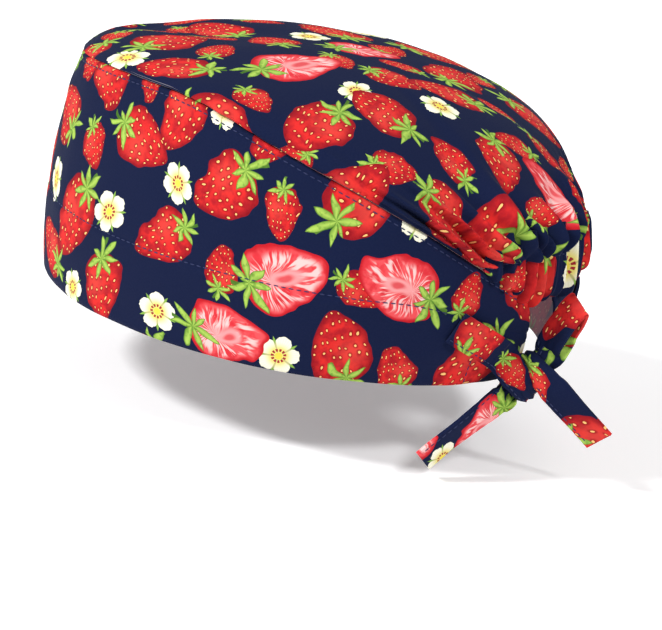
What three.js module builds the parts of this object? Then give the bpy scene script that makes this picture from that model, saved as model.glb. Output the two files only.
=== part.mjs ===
// A tie-back surgical scrub cap of printed cotton, in the form that it has when worn, in millimetres.
// +Z is up, the forehead faces -Y and the wearer's left is +X.
// The origin is the middle of the head opening, level with the rim.
// Angles go round the head in degrees: 0 at the forehead, 90 at the left ear, 180 at the nape.
import * as THREE from "three";

// Rim, measured outside the cloth
const rimWidth = 158;
const rimLength = 194;
const rimEgg = 0.05; // share by which the head is wider behind the ears than before them

// Side band: tall round the front, low at the back, where it is open
const bandHeight = 86;
const bandLean = 9; // how far its top leans in at the forehead
const bandBulge = 4; // how far it swells half way up
const bandWall = 1.3;
const rearOpening = 17; // between the two rear ends of the band
const bandCreaseHeight = 1.2;
const bandCreaseWidth = 9;

// Crown: one soft piece, smooth in front and drawn together at the back
const crownRise = 10.6; // its middle over the top of the band
const crownMiddle = 0.7; // its middle behind the origin
const crownWall = 1.3;
const valleyDepth = 5; // the hollow between its two front ridges
const valleyWidth = 17;
const valleyLength = 60;
const foldHeight = 3.2;
const foldWidth = 5;
const foldSink = 1.2; // how far the cloth between the folds falls in

// Elastic casing over the rear opening, and the gathers that it makes
const casingHeight = 19.5;
const casingSpan = 46; // degrees of the head that the casing goes round
const casingWall = 2.4;
const casingBulge = 3.2;
const archRise = 3; // how much higher the free edge over the opening is than the band's ends
const gatherHeight = 1.9;
const gatherCount = 11;

// Ties: flat, sewn on the band and knotted over the opening
const tieWidth = 12;
const tieThickness = 1.3;
const sewnLift = 0.6; // between the band and a tie that is sewn on it
const leftTailLength = 32;
const rightTailLength = 43;
const loopLength = 34;
const knotAcross = 11; // the knot's place left of the middle plane
const knotBehind = 9; // behind the rim
const knotUp = 4; // over the rim
const bowTurn = 31; // degrees that the bow is turned towards the wearer's left
const bundleTilt = 50; // degrees over the horizontal of the strands in the knot

const seamGap = 0.3; // between two pieces that are sewn together

// Facets
const coarseStep = 6;
const fineStep = 2;
const fineFrom = 126;
const bandRowCount = 7;
const crownRowCount = 15;
const casingRowCount = 4;
const stationsPerRow = 3;

const nape = 180;
const cloth = new THREE.Color(0x202b52);
const tieCloth = new THREE.Color(0xb8282c);

const radians = THREE.MathUtils.degToRad;
const ease = (x) => THREE.MathUtils.smoothstep(x, 0, 1);
const bell = (x) => Math.exp(-x * x);

// Reads a column of a table at an angle, on a smooth curve through its rows.
function follow(rows, column, angle) {
  const at = Math.abs(angle);
  const last = rows.length - 1;
  const slope = (k) => {
    if (k === 0 || k === last) return 0;
    return (rows[k + 1][column] - rows[k - 1][column]) / (rows[k + 1].angle - rows[k - 1].angle);
  };
  let k = 0;
  while (k < last - 1 && at > rows[k + 1].angle) k += 1;
  const span = rows[k + 1].angle - rows[k].angle;
  const t = (at - rows[k].angle) / span;
  const rise = rows[k + 1][column] - rows[k][column];
  const bendStart = slope(k) * span - rise;
  const bendEnd = rise - slope(k + 1) * span;
  return rows[k][column] + rise * t + t * (1 - t) * ((1 - t) * bendStart + t * bendEnd);
}

// The band by angle, the same on both sides: shares of bandHeight and bandLean.
const bandRows = [
  { angle: 0, height: 0.983, lean: 1.0 },
  { angle: 30, height: 0.962, lean: 0.62 },
  { angle: 60, height: 1.0, lean: 0.66 },
  { angle: 90, height: 0.985, lean: 0.55 },
  { angle: 120, height: 0.825, lean: -0.05 },
  { angle: 140, height: 0.67, lean: -0.5 },
  { angle: 160, height: 0.477, lean: -0.72 },
  { angle: 175, height: 0.337, lean: -0.66 },
  { angle: 180, height: 0.312, lean: -0.64 },
];

// Soft creases of the band: from a foot to a head, given by angle and by share of the band's height.
const bandCreases = [
  { footAngle: 36, foot: 0.86, headAngle: 58, head: 0.97, width: 0.8, height: 1.0 },
  { footAngle: 118, foot: 0.5, headAngle: 150, head: 0.75, width: 1.0, height: 0.8 },
  { footAngle: 138, foot: 0.15, headAngle: 164, head: 0.5, width: 0.8, height: 0.6 },
  { footAngle: -42, foot: 0.84, headAngle: -62, head: 0.96, width: 0.9, height: 0.9 },
  { footAngle: -124, foot: 0.42, headAngle: -152, head: 0.8, width: 1.0, height: 0.8 },
];

// The crown's profile by angle, from its edge to its middle: shares of the way out and of the way up
// for the two points that its curve bends towards.
const crownRows = [
  { angle: 0, belly: 0.98, bellyRise: 0.55, shoulder: 0.65, shoulderRise: 1.1 },
  { angle: 45, belly: 0.965, bellyRise: 0.45, shoulder: 0.62, shoulderRise: 1.057 },
  { angle: 90, belly: 1.055, bellyRise: 0.45, shoulder: 0.6, shoulderRise: 0.99 },
  { angle: 120, belly: 1.06, bellyRise: 0.45, shoulder: 0.64, shoulderRise: 1.0 },
  { angle: 150, belly: 0.99, bellyRise: 0.43, shoulder: 0.7, shoulderRise: 1.0 },
  { angle: 180, belly: 0.99, bellyRise: 0.42, shoulder: 0.7, shoulderRise: 1.0 },
];

// Folds of the crown, each a ridge from a foot at the casing to a head where it fades.
// Angles run on past the nape, climbs are shares of the way to the crown's middle,
// widths and heights are shares of foldWidth and foldHeight.
const crownFolds = [
  { footAngle: 160, foot: 0.02, headAngle: 131, head: 0.14, width: 1.1, height: 0.75 },
  { footAngle: 163, foot: 0.02, headAngle: 146, head: 0.3, width: 1.3, height: 1.0 },
  { footAngle: 168.5, foot: 0.0, headAngle: 160, head: 0.5, width: 1.4, height: 1.2 },
  { footAngle: 174, foot: 0.0, headAngle: 165, head: 0.22, width: 0.9, height: 0.9 },
  { footAngle: 178, foot: 0.0, headAngle: 177, head: 0.4, width: 1.0, height: 0.9 },
  { footAngle: 184, foot: 0.0, headAngle: 190, head: 0.5, width: 1.2, height: 1.1 },
  { footAngle: 189, foot: 0.0, headAngle: 199, head: 0.3, width: 0.9, height: 0.9 },
  { footAngle: 194, foot: 0.01, headAngle: 208, head: 0.4, width: 1.3, height: 1.1 },
  { footAngle: 198, foot: 0.02, headAngle: 219, head: 0.24, width: 1.2, height: 1.0 },
  { footAngle: 201, foot: 0.02, headAngle: 229, head: 0.13, width: 1.0, height: 0.8 },
];

function rimPoint(angle) {
  const a = radians(angle);
  const x = (rimWidth / 2) * Math.sin(a) * (1 - rimEgg * Math.cos(a));
  return new THREE.Vector3(x, (-rimLength / 2) * Math.cos(a), 0);
}

const outward = (angle) => rimPoint(angle).normalize();

// How far along and how far from a line from foot to head a place lies, both flattened to millimetres.
function besideLine(place, foot, head) {
  const line = head.clone().sub(foot);
  const length = line.length();
  const offset = place.clone().sub(foot);
  const along = offset.dot(line) / (length * length);
  const aside = (line.x * offset.y - line.y * offset.x) / length;
  const past = Math.max(0, along - 1, -along) * length;
  return { along: THREE.MathUtils.clamp(along, 0, 1), aside, past };
}

const bandTop = (angle) => bandHeight * follow(bandRows, "height", angle);

function bandCrease(angle, share) {
  const flat = (a, s) => new THREE.Vector2(radians(a) * (rimWidth / 2), s * bandTop(a));
  const place = flat(angle, share);
  return bandCreases.reduce((sum, crease) => {
    const foot = flat(crease.footAngle, crease.foot);
    const head = flat(crease.headAngle, crease.head);
    const { aside, past } = besideLine(place, foot, head);
    const width = bandCreaseWidth * crease.width;
    return sum + bandCreaseHeight * crease.height * bell(aside / width) * bell(past / width);
  }, 0);
}

// A point of the band's outer face, by angle and by share of its height there.
function bandPoint(angle, share) {
  const lean = bandLean * follow(bandRows, "lean", angle) * Math.pow(share, 1.3);
  const swell = bandBulge * Math.sin(Math.PI * share);
  const point = rimPoint(angle);
  point.addScaledVector(outward(angle), swell - lean + bandCrease(angle, share));
  point.z = bandTop(angle) * share;
  return point;
}

// Half the angle that the rear opening takes
const openingHalf = THREE.MathUtils.radToDeg(Math.asin(rearOpening / rimWidth));
const stitchHeight = bandTop(nape) + casingHeight;
const casingHalf = casingSpan / 2;
const gatherReach = casingSpan * 1.3; // degrees from the nape over which the elastic's pull shows

// How far the crown's edge is raised from the band's seam to the casing's stitch line
function raise(angle) {
  const fromNape = nape - Math.abs(angle);
  return ease((casingHalf + coarseStep / 2 - fromNape) / (coarseStep * 1.5));
}

function crownEdge(angle) {
  const seam = bandPoint(angle, 1);
  const above = Math.max(stitchHeight - seam.z, 0) * raise(angle);
  seam.z += seamGap + above;
  seam.addScaledVector(outward(angle), (casingBulge / 2) * raise(angle));
  return seam;
}

const crownCentre = new THREE.Vector3(0, crownMiddle, bandHeight + crownRise);
const crownArc = rimLength * 0.62; // about the way over the crown from its back edge to its middle

function crownFlat(angle, climb) {
  const behind = angle < 0 ? angle + 2 * nape : angle;
  return new THREE.Vector2(radians(behind) * (rimWidth / 2) * (1 - climb), climb * crownArc);
}

// Pleats that the elastic draws: they fade up the crown and towards the casing's ends.
function gathers(angle, climb) {
  const fromNape = nape - Math.abs(angle);
  const side = ease((casingHalf - fromNape) / coarseStep);
  const wave = Math.cos((fromNape / casingHalf) * gatherCount * (Math.PI / 2) * (angle < 0 ? 1.07 : 1));
  return gatherHeight * (0.5 + 0.5 * wave) * side * (1 - ease(climb / 0.16));
}

function crownFold(angle, climb) {
  const place = crownFlat(angle, climb);
  const atEdge = raise(angle) + (1 - raise(angle)) * ease(climb / 0.1);
  const sink = foldSink * ease((gatherReach - nape + Math.abs(angle)) / casingHalf) * (1 - ease(climb / 0.5));
  const folds = crownFolds.reduce((highest, fold) => {
    const foot = crownFlat(fold.footAngle, fold.foot);
    const head = crownFlat(fold.headAngle, fold.head);
    const { along, aside, past } = besideLine(place, foot, head);
    const width = foldWidth * fold.width * (0.45 + 0.85 * along);
    const height = foldHeight * fold.height * ease(0.35 + 2.5 * along) * ease(1.15 * (1 - along) + 0.1);
    return Math.max(highest, height * bell(aside / width) * bell(past / width));
  }, 0);
  return (folds + gathers(angle, climb) - sink) * atEdge;
}

// A point of the crown's plain dome, without its folds.
function crownDome(angle, climb) {
  const edge = crownEdge(angle);
  const t = climb;
  const weights = [(1 - t) ** 3, 3 * t * (1 - t) ** 2, 3 * t * t * (1 - t)];
  const read = (column) => follow(crownRows, column, angle);
  const out = weights[0] + weights[1] * read("belly") + weights[2] * read("shoulder");
  const up = weights[1] * read("bellyRise") + weights[2] * read("shoulderRise") + t ** 3;
  const point = crownCentre.clone().lerp(edge, out);
  point.z = edge.z + (crownCentre.z - edge.z) * up;
  const infront = ease((crownMiddle - point.y) / valleyLength);
  point.z -= valleyDepth * bell(point.x / valleyWidth) * infront * ease((climb - 0.04) / 0.3);
  return point;
}

// The dome's outward normal, from three points close together.
function crownNormal(angle, climb) {
  const near = 0.01;
  const low = Math.min(climb, 1 - 2 * near);
  const here = crownDome(angle, low);
  const round = crownDome(angle + 1, low).sub(here);
  const up = crownDome(angle, low + near).sub(here);
  return round.cross(up).normalize();
}

// A closed wall between an outer and an inner grid of points: columns go round, rows go up.
// The columns may close on themselves, and the last row may be one point.
function wall(outer, inner, closed) {
  const positions = [];
  const face = (a, b, c) => {
    const corners = [a, b, c];
    const thin = corners.some((p, k) => p.distanceTo(corners[(k + 1) % 3]) < 1e-6);
    if (!thin) corners.forEach((p) => positions.push(p.x, p.y, p.z));
  };
  const quad = (a, b, c, d) => {
    face(a, b, c);
    face(a, c, d);
  };
  const columns = outer.length;
  const top = outer[0].length - 1;
  const strips = closed ? columns : columns - 1;
  for (let i = 0; i < strips; i += 1) {
    const k = (i + 1) % columns;
    for (let j = 0; j < top; j += 1) {
      quad(outer[i][j], outer[k][j], outer[k][j + 1], outer[i][j + 1]);
      quad(inner[k][j], inner[i][j], inner[i][j + 1], inner[k][j + 1]);
    }
    quad(inner[i][0], inner[k][0], outer[k][0], outer[i][0]);
    const pointed = outer[i][top].distanceTo(outer[k][top]) < 1e-6;
    if (!pointed) quad(outer[i][top], outer[k][top], inner[k][top], inner[i][top]);
  }
  if (!closed) {
    const end = columns - 1;
    for (let j = 0; j < top; j += 1) {
      quad(inner[0][j], outer[0][j], outer[0][j + 1], inner[0][j + 1]);
      quad(outer[end][j], inner[end][j], inner[end][j + 1], outer[end][j + 1]);
    }
  }
  const geometry = new THREE.BufferGeometry();
  geometry.setAttribute("position", new THREE.Float32BufferAttribute(positions, 3));
  geometry.computeVertexNormals();
  return geometry;
}

const shares = (count) => Array.from({ length: count + 1 }, (_, k) => k / count);

// Angles from one end to the other, coarse in front and fine at the back.
function columnAngles(from, to) {
  const angles = [];
  for (let a = -nape; a <= nape; a += Math.abs(a + fineStep / 2) < fineFrom ? coarseStep : fineStep) {
    if (a > from + fineStep / 4 && a < to - fineStep / 4) angles.push(a);
  }
  return [from, ...angles, to];
}

function sideBand() {
  const end = nape - openingHalf;
  const rows = shares(bandRowCount);
  const angles = columnAngles(-end, end);
  const outer = angles.map((a) => rows.map((s) => bandPoint(a, s)));
  const inner = angles.map((a) => rows.map((s) => bandPoint(a, s).addScaledVector(outward(a), -bandWall)));
  return wall(outer, inner, false);
}

function crown() {
  const rows = shares(crownRowCount).map((s) => Math.pow(s, 1.3));
  const angles = columnAngles(-nape, nape).slice(0, -1);
  const outer = [];
  const inner = [];
  for (const a of angles) {
    const facing = (t) => outward(a).lerp(crownNormal(a, t), ease(t / 0.12)).normalize();
    outer.push(rows.map((t) => crownDome(a, t).addScaledVector(facing(t), crownFold(a, t))));
    inner.push(rows.map((t) => {
      const depth = crownWall - crownFold(a, t) * 0.75;
      return crownDome(a, t).addScaledVector(facing(t), -depth);
    }));
  }
  const middle = crownDome(0, 1);
  const underMiddle = middle.clone().setZ(middle.z - crownWall);
  outer.forEach((column) => column[crownRowCount].copy(middle));
  inner.forEach((column) => column[crownRowCount].copy(underMiddle));
  return wall(outer, inner, true);
}

// The casing runs from the band's seam, or the opening's free edge, up to the crown's stitch line.
function elasticCasing() {
  const rows = shares(casingRowCount);
  const step = fineStep / 1.25;
  const count = Math.round(casingSpan / step);
  const angles = shares(count).map((s) => nape - casingHalf + s * casingSpan);
  const turned = angles.map((a) => (a > nape ? a - 2 * nape : a));
  const point = (a, s, depth) => {
    const low = bandPoint(a, 1);
    low.z += seamGap + archRise * ease(1.5 * (1 - (nape - Math.abs(a)) / openingHalf));
    const high = crownEdge(a);
    high.z -= seamGap;
    const place = low.lerp(high, s);
    const puff = casingBulge * Math.sin(Math.PI * Math.sqrt(s)) * (0.4 + 0.6 * raise(a));
    const pleat = crownFold(a, 0) * ease(0.35 + s);
    return place.addScaledVector(outward(a), depth > 0 ? -depth : puff + pleat);
  };
  const outer = turned.map((a) => rows.map((s) => point(a, s, 0)));
  const inner = turned.map((a) => rows.map((s) => point(a, s, casingWall)));
  return wall(outer, inner, false);
}

// The bow has a frame of its own at the knot: "cross" lies over the bundle of strands in the knot,
// "bundle" runs along it and "out" faces away from the head.
const knot = new THREE.Vector3(knotAcross, rimLength / 2 + knotBehind, knotUp);
const turn = radians(bowTurn);
const tilt = radians(bundleTilt);
const across = new THREE.Vector3(-Math.sin(turn), Math.cos(turn), 0);
const up = new THREE.Vector3(0, 0, 1);
const out = new THREE.Vector3(Math.cos(turn), Math.sin(turn), 0);
const bundle = across.clone().multiplyScalar(Math.cos(tilt)).addScaledVector(up, Math.sin(tilt));
const cross = across.clone().multiplyScalar(Math.sin(tilt)).addScaledVector(up, -Math.cos(tilt));

function inBow(row, unit, from = { cross: 0, bundle: 0, out: 0 }) {
  return knot.clone()
    .addScaledVector(cross, row.cross * unit + from.cross * tieWidth)
    .addScaledVector(bundle, row.bundle * unit + from.bundle * tieWidth)
    .addScaledVector(out, row.out * unit + from.out * tieWidth);
}

// The sewn start of a tie on the band: angle round the head and share of the band's height.
const sewnRows = [
  { angle: 151.8, share: 0.495 },
  { angle: 156, share: 0.455 },
  { angle: 160.5, share: 0.41 },
  { angle: 164.5, share: 0.36 },
];

// The left tie laps once round the strands of the right one. Places are in tie widths from the knot.
const leftKnotRows = [
  { cross: -0.98, bundle: -0.2, out: 0.52, turn: -16, width: 0.95 },
  { cross: -0.5, bundle: -0.34, out: 0.6, turn: -6, width: 0.78 },
  { cross: 0.0, bundle: -0.37, out: 0.56, turn: 0, width: 0.64 },
  { cross: 0.42, bundle: -0.36, out: 0.34, turn: 0, width: 0.6 },
  { cross: 0.55, bundle: -0.3, out: 0.0, turn: 0, width: 0.6 },
  { cross: 0.36, bundle: -0.2, out: -0.32, turn: 0, width: 0.6 },
  { cross: 0.0, bundle: 0.0, out: -0.42, turn: 0, width: 0.6 },
  { cross: -0.36, bundle: 0.2, out: -0.32, turn: 0, width: 0.6 },
  { cross: -0.55, bundle: 0.3, out: 0.0, turn: 0, width: 0.6 },
  { cross: -0.42, bundle: 0.36, out: 0.32, turn: 0, width: 0.6 },
  { cross: 0.0, bundle: 0.4, out: 0.54, turn: 0, width: 0.64 },
];

// Its tail goes on from there, in shares of leftTailLength.
const leftTailRows = [
  { cross: 0.14, bundle: 0.02, out: 0.03, turn: 10, width: 0.8 },
  { cross: 0.3, bundle: 0.05, out: 0.03, turn: 20, width: 0.95 },
  { cross: 0.54, bundle: 0.08, out: 0.01, turn: 30, width: 1 },
  { cross: 0.77, bundle: 0.11, out: -0.01, turn: 32, width: 1 },
  { cross: 1.0, bundle: 0.14, out: -0.02, turn: 30, width: 1 },
];

// The right tie comes down behind the knot, turns back under it, and goes up into the loop.
const rightKnotRows = [
  { cross: 0.0, bundle: 0.75, out: -0.16, turn: 0, width: 0.75 },
  { cross: 0.0, bundle: 0.0, out: -0.17, turn: 0, width: 0.6 },
  { cross: 0.0, bundle: -0.72, out: -0.16, turn: 0, width: 0.6 },
  { cross: 0.0, bundle: -0.86, out: -0.07, turn: 0, width: 0.6 },
  { cross: 0.0, bundle: -0.72, out: 0.02, turn: 0, width: 0.6 },
  { cross: 0.0, bundle: 0.0, out: 0.01, turn: 0, width: 0.6 },
  { cross: 0.0, bundle: 0.75, out: 0.02, turn: 0, width: 0.7 },
];

const loopRows = [
  { cross: -0.05, bundle: 0.44, out: -0.01, turn: -40, width: 0.82 },
  { cross: -0.12, bundle: 0.7, out: -0.05, turn: -60, width: 0.95 },
  { cross: -0.15, bundle: 0.92, out: -0.04, turn: -66, width: 1 },
  { cross: -0.1, bundle: 1.0, out: 0.01, turn: -66, width: 1 },
  { cross: -0.04, bundle: 0.92, out: 0.06, turn: -66, width: 1 },
  { cross: 0.0, bundle: 0.68, out: 0.1, turn: -58, width: 0.95 },
  { cross: 0.02, bundle: 0.42, out: 0.11, turn: -36, width: 0.82 },
];

const rightReturnRows = [
  { cross: 0.0, bundle: 0.72, out: 0.22, turn: 0, width: 0.7 },
  { cross: 0.0, bundle: 0.0, out: 0.19, turn: 0, width: 0.6 },
  { cross: 0.0, bundle: -0.66, out: 0.22, turn: 0, width: 0.66 },
];

const rightTailRows = [
  { cross: -0.02, bundle: -0.26, out: 0.13, turn: 22, width: 0.85 },
  { cross: -0.04, bundle: -0.42, out: 0.2, turn: 38, width: 1 },
  { cross: -0.06, bundle: -0.62, out: 0.27, turn: 46, width: 1 },
  { cross: -0.07, bundle: -0.82, out: 0.32, turn: 48, width: 1 },
  { cross: -0.08, bundle: -1.0, out: 0.36, turn: 46, width: 1 },
];

// A flat strip through stations that hold a middle point, a hint of which way it is wide, and a width.
function strip(stations) {
  const curve = new THREE.CatmullRomCurve3(stations.map((s) => s.middle), false, "catmullrom", 0.5);
  const steps = (stations.length - 1) * stationsPerRow;
  const sides = [[-1, -1], [1, -1], [1, 1], [-1, 1]];
  const rings = shares(steps).map((t) => {
    const place = t * (stations.length - 1);
    const k = Math.min(Math.floor(place), stations.length - 2);
    const along = curve.getTangent(t);
    const wide = stations[k].wide.clone().lerp(stations[k + 1].wide, place - k);
    wide.addScaledVector(along, -wide.dot(along)).normalize();
    const thick = along.clone().cross(wide).normalize();
    const width = THREE.MathUtils.lerp(stations[k].width, stations[k + 1].width, place - k);
    return sides.map(([w, h]) => curve.getPoint(t)
      .addScaledVector(wide, (w * width) / 2)
      .addScaledVector(thick, (h * tieThickness) / 2));
  });
  return tube(rings);
}

// Closes a row of four-cornered rings into one solid.
function tube(rings) {
  const positions = [];
  const quad = (a, b, c, d) => [a, b, c, a, c, d].forEach((p) => positions.push(p.x, p.y, p.z));
  rings.slice(0, -1).forEach((ring, k) => {
    const next = rings[k + 1];
    ring.forEach((corner, n) => {
      const m = (n + 1) % ring.length;
      quad(corner, ring[m], next[m], next[n]);
    });
  });
  const first = rings[0];
  const last = rings[rings.length - 1];
  quad(first[3], first[2], first[1], first[0]);
  quad(last[0], last[1], last[2], last[3]);
  const geometry = new THREE.BufferGeometry();
  geometry.setAttribute("position", new THREE.Float32BufferAttribute(positions, 3));
  geometry.computeVertexNormals();
  return geometry;
}

function sewnStations(side) {
  return sewnRows.map((row) => {
    const angle = side * row.angle;
    const middle = bandPoint(angle, row.share);
    const rising = bandPoint(angle, row.share + 0.1).sub(bandPoint(angle, row.share - 0.1)).normalize();
    const round = bandPoint(angle + 1, row.share).sub(bandPoint(angle - 1, row.share)).normalize();
    const facing = round.cross(rising).normalize();
    middle.addScaledVector(facing, sewnLift + tieThickness / 2);
    return { middle, wide: rising, width: tieWidth };
  });
}

function bowStations(rows, unit, base, from) {
  return rows.map((row) => {
    const wide = base.clone().multiplyScalar(Math.cos(radians(row.turn)));
    wide.addScaledVector(out, Math.sin(radians(row.turn)));
    return { middle: inBow(row, unit, from), wide, width: tieWidth * row.width };
  });
}

function leftTie() {
  const lastLap = leftKnotRows[leftKnotRows.length - 1];
  return strip([
    ...sewnStations(1),
    ...bowStations(leftKnotRows, tieWidth, bundle),
    ...bowStations(leftTailRows, leftTailLength, bundle, lastLap),
  ]);
}

function rightTie() {
  const bridge = { middle: new THREE.Vector3(-rearOpening * 0.28, knot.y + 1, knot.z + tieWidth * 0.75) };
  const start = sewnStations(-1);
  const wide = start[start.length - 1].wide.clone();
  return strip([
    ...start,
    { ...bridge, wide: wide.clone(), width: tieWidth * 0.9 },
    ...bowStations(rightKnotRows, tieWidth, cross.clone().negate()),
    ...bowStations(loopRows, loopLength, cross.clone().negate()),
    ...bowStations(rightReturnRows, tieWidth, cross.clone().negate()),
    ...bowStations(rightTailRows, rightTailLength, cross.clone().negate()),
  ]);
}

function piece(name, geometry, color) {
  const material = new THREE.MeshStandardMaterial({ color, roughness: 0.9, metalness: 0 });
  const mesh = new THREE.Mesh(geometry, material);
  mesh.name = name;
  return mesh;
}

const cap = new THREE.Group();
cap.add(piece("crown", crown(), cloth));
cap.add(piece("side_band", sideBand(), cloth));
cap.add(piece("elastic_casing", elasticCasing(), cloth));
cap.add(piece("left_tie", leftTie(), tieCloth));
cap.add(piece("right_tie", rightTie(), tieCloth));

export default cap;
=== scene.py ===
# Surgical scrub cap of printed cotton, in its worn form. Shapes are in millimetres until the mesh.
# +Z up, front to -Y, wearer's left +X. Angles: 0 front, 90 left, 180 nape.
import math
from functools import lru_cache

import bmesh
import bpy
from mathutils import Matrix, Vector, noise
from mathutils.bvhtree import BVHTree


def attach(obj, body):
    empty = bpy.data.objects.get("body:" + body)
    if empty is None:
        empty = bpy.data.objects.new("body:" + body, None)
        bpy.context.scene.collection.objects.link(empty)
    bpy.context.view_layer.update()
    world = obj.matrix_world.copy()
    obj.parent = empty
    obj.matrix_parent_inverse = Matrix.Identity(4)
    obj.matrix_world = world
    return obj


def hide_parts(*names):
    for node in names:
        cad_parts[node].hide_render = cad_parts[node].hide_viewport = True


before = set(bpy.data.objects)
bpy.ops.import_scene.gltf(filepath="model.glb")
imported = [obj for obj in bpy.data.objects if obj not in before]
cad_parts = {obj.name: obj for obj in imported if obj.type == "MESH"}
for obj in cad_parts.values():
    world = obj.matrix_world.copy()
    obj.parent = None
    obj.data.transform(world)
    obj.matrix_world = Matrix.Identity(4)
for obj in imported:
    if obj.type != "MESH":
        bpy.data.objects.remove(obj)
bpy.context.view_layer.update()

mm = 0.001
nape = 180.0

# Driving sizes. Rim, band, dome and casing have those of the solids. The ties are thinner here
# and the loop is shorter.
rim = {"width": 158.0, "length": 194.0, "egg": 0.05}
band = {"height": 86.0, "lean": 9.0, "bulge": 4.0, "opening": 17.0, "crease": 1.2, "creaseWidth": 9.0}
dome = {"rise": 10.6, "middle": 0.7, "valley": 5.0, "valleyWidth": 17.0, "valleyLength": 60.0}
casing = {"height": 19.5, "span": 46.0, "bulge": 3.2, "arch": 3.0}
tie = {"width": 12.0, "thick": 1.1, "lift": 0.9, "leftTail": 32.0, "rightTail": 43.0, "loop": 30.5}
bow = {"across": 11.0, "behind": 9.0, "up": 4.0, "turn": 31.0, "tilt": 50.0}
hemHeight = 31.0
seamZone = 5.0
topstitch = 2.5


def smooth(x):
    x = min(max(x, 0.0), 1.0)
    return x * x * (3 - 2 * x)


def bell(x):
    return math.exp(-x * x)


def spread(count, low=0.0, high=1.0):
    return [low + (high - low) * k / count for k in range(count + 1)]


def follow(rows, column, angle):
    at = abs(angle)
    last = len(rows) - 1

    def slope(k):
        if k in (0, last):
            return 0.0
        before, after = rows[k - 1], rows[k + 1]
        return (after[column] - before[column]) / (after["angle"] - before["angle"])

    k = 0
    while k < last - 1 and at > rows[k + 1]["angle"]:
        k += 1
    span = rows[k + 1]["angle"] - rows[k]["angle"]
    t = (at - rows[k]["angle"]) / span
    rise = rows[k + 1][column] - rows[k][column]
    bendStart = slope(k) * span - rise
    bendEnd = rise - slope(k + 1) * span
    return rows[k][column] + rise * t + t * (1 - t) * ((1 - t) * bendStart + t * bendEnd)


def table(columns, rows):
    names = columns.split()
    return [dict(zip(names, row)) for row in rows]


bandRows = table("angle height lean", [
    (0, 0.983, 1.0), (30, 0.962, 0.62), (60, 1.0, 0.66), (90, 0.985, 0.55), (120, 0.825, -0.05),
    (140, 0.67, -0.5), (160, 0.477, -0.72), (175, 0.337, -0.66), (180, 0.312, -0.64)])

bandCreases = table("footAngle foot headAngle head width height", [
    (36, 0.86, 58, 0.97, 0.8, 1.0), (118, 0.5, 150, 0.75, 1.0, 0.8), (138, 0.15, 164, 0.5, 0.8, 0.6),
    (-42, 0.84, -62, 0.96, 0.9, 0.9), (-124, 0.42, -152, 0.8, 1.0, 0.8)])

crownRows = table("angle belly bellyRise shoulder shoulderRise", [
    (0, 0.98, 0.55, 0.65, 1.1), (45, 0.965, 0.45, 0.62, 1.057), (90, 1.055, 0.45, 0.6, 0.99),
    (120, 1.06, 0.45, 0.64, 1.0), (150, 0.99, 0.43, 0.7, 1.0), (180, 0.99, 0.42, 0.7, 1.0)])


@lru_cache(maxsize=None)
def rimPoint(angle):
    a = math.radians(angle)
    x = rim["width"] / 2 * math.sin(a) * (1 - rim["egg"] * math.cos(a))
    return Vector((x, -rim["length"] / 2 * math.cos(a), 0))


@lru_cache(maxsize=None)
def outward(angle):
    return rimPoint(angle).normalized()


@lru_cache(maxsize=None)
def bandTop(angle):
    return band["height"] * follow(bandRows, "height", angle)


@lru_cache(maxsize=None)
def bandLean(angle):
    return band["lean"] * follow(bandRows, "lean", angle)


@lru_cache(maxsize=None)
def roundArc(angle):
    if angle == 0:
        return 0.0
    steps = max(int(abs(angle)), 1)
    marks = [rimPoint(angle * k / steps) for k in range(steps + 1)]
    return math.copysign(sum((b - a).length for a, b in zip(marks, marks[1:])), angle)


def besideLine(place, foot, head):
    line = head - foot
    length = max(line.length, 1e-6)
    offset = place - foot
    along = offset.dot(line) / length**2
    aside = (line.x * offset.y - line.y * offset.x) / length
    past = max(0.0, along - 1, -along) * length
    return min(max(along, 0.0), 1.0), aside, past


def bandCrease(angle, share):
    def flat(a, s):
        return Vector((math.radians(a) * rim["width"] / 2, s * bandTop(a)))

    place = flat(angle, share)
    total = 0.0
    for crease in bandCreases:
        foot = flat(crease["footAngle"], crease["foot"])
        head = flat(crease["headAngle"], crease["head"])
        along, aside, past = besideLine(place, foot, head)
        width = band["creaseWidth"] * crease["width"]
        total += band["crease"] * crease["height"] * bell(aside / width) * bell(past / width)
    return total


def bandPoint(angle, share):
    lean = bandLean(angle) * max(share, 0.0) ** 1.3
    swell = band["bulge"] * math.sin(math.pi * share)
    point = rimPoint(angle) + outward(angle) * (swell - lean + bandCrease(angle, share))
    point.z = bandTop(angle) * share
    return point


openingHalf = math.degrees(math.asin(band["opening"] / rim["width"]))
stitchHeight = bandTop(nape) + casing["height"]
casingHalf = casing["span"] / 2


@lru_cache(maxsize=None)
def raised(angle):
    return smooth((casingHalf + 3 - nape + abs(angle)) / 9)


@lru_cache(maxsize=None)
def crownEdge(angle):
    seam = bandPoint(angle, 1)
    above = max(stitchHeight - seam.z, 0) * raised(angle)
    seam.z += above
    return seam + outward(angle) * casing["bulge"] / 2 * raised(angle)


@lru_cache(maxsize=None)
def crownRow(angle):
    columns = ("belly", "bellyRise", "shoulder", "shoulderRise")
    return {column: follow(crownRows, column, angle) for column in columns}


crownCentre = Vector((0, dome["middle"], band["height"] + dome["rise"]))
crownArc = rim["length"] * 0.62


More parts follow.
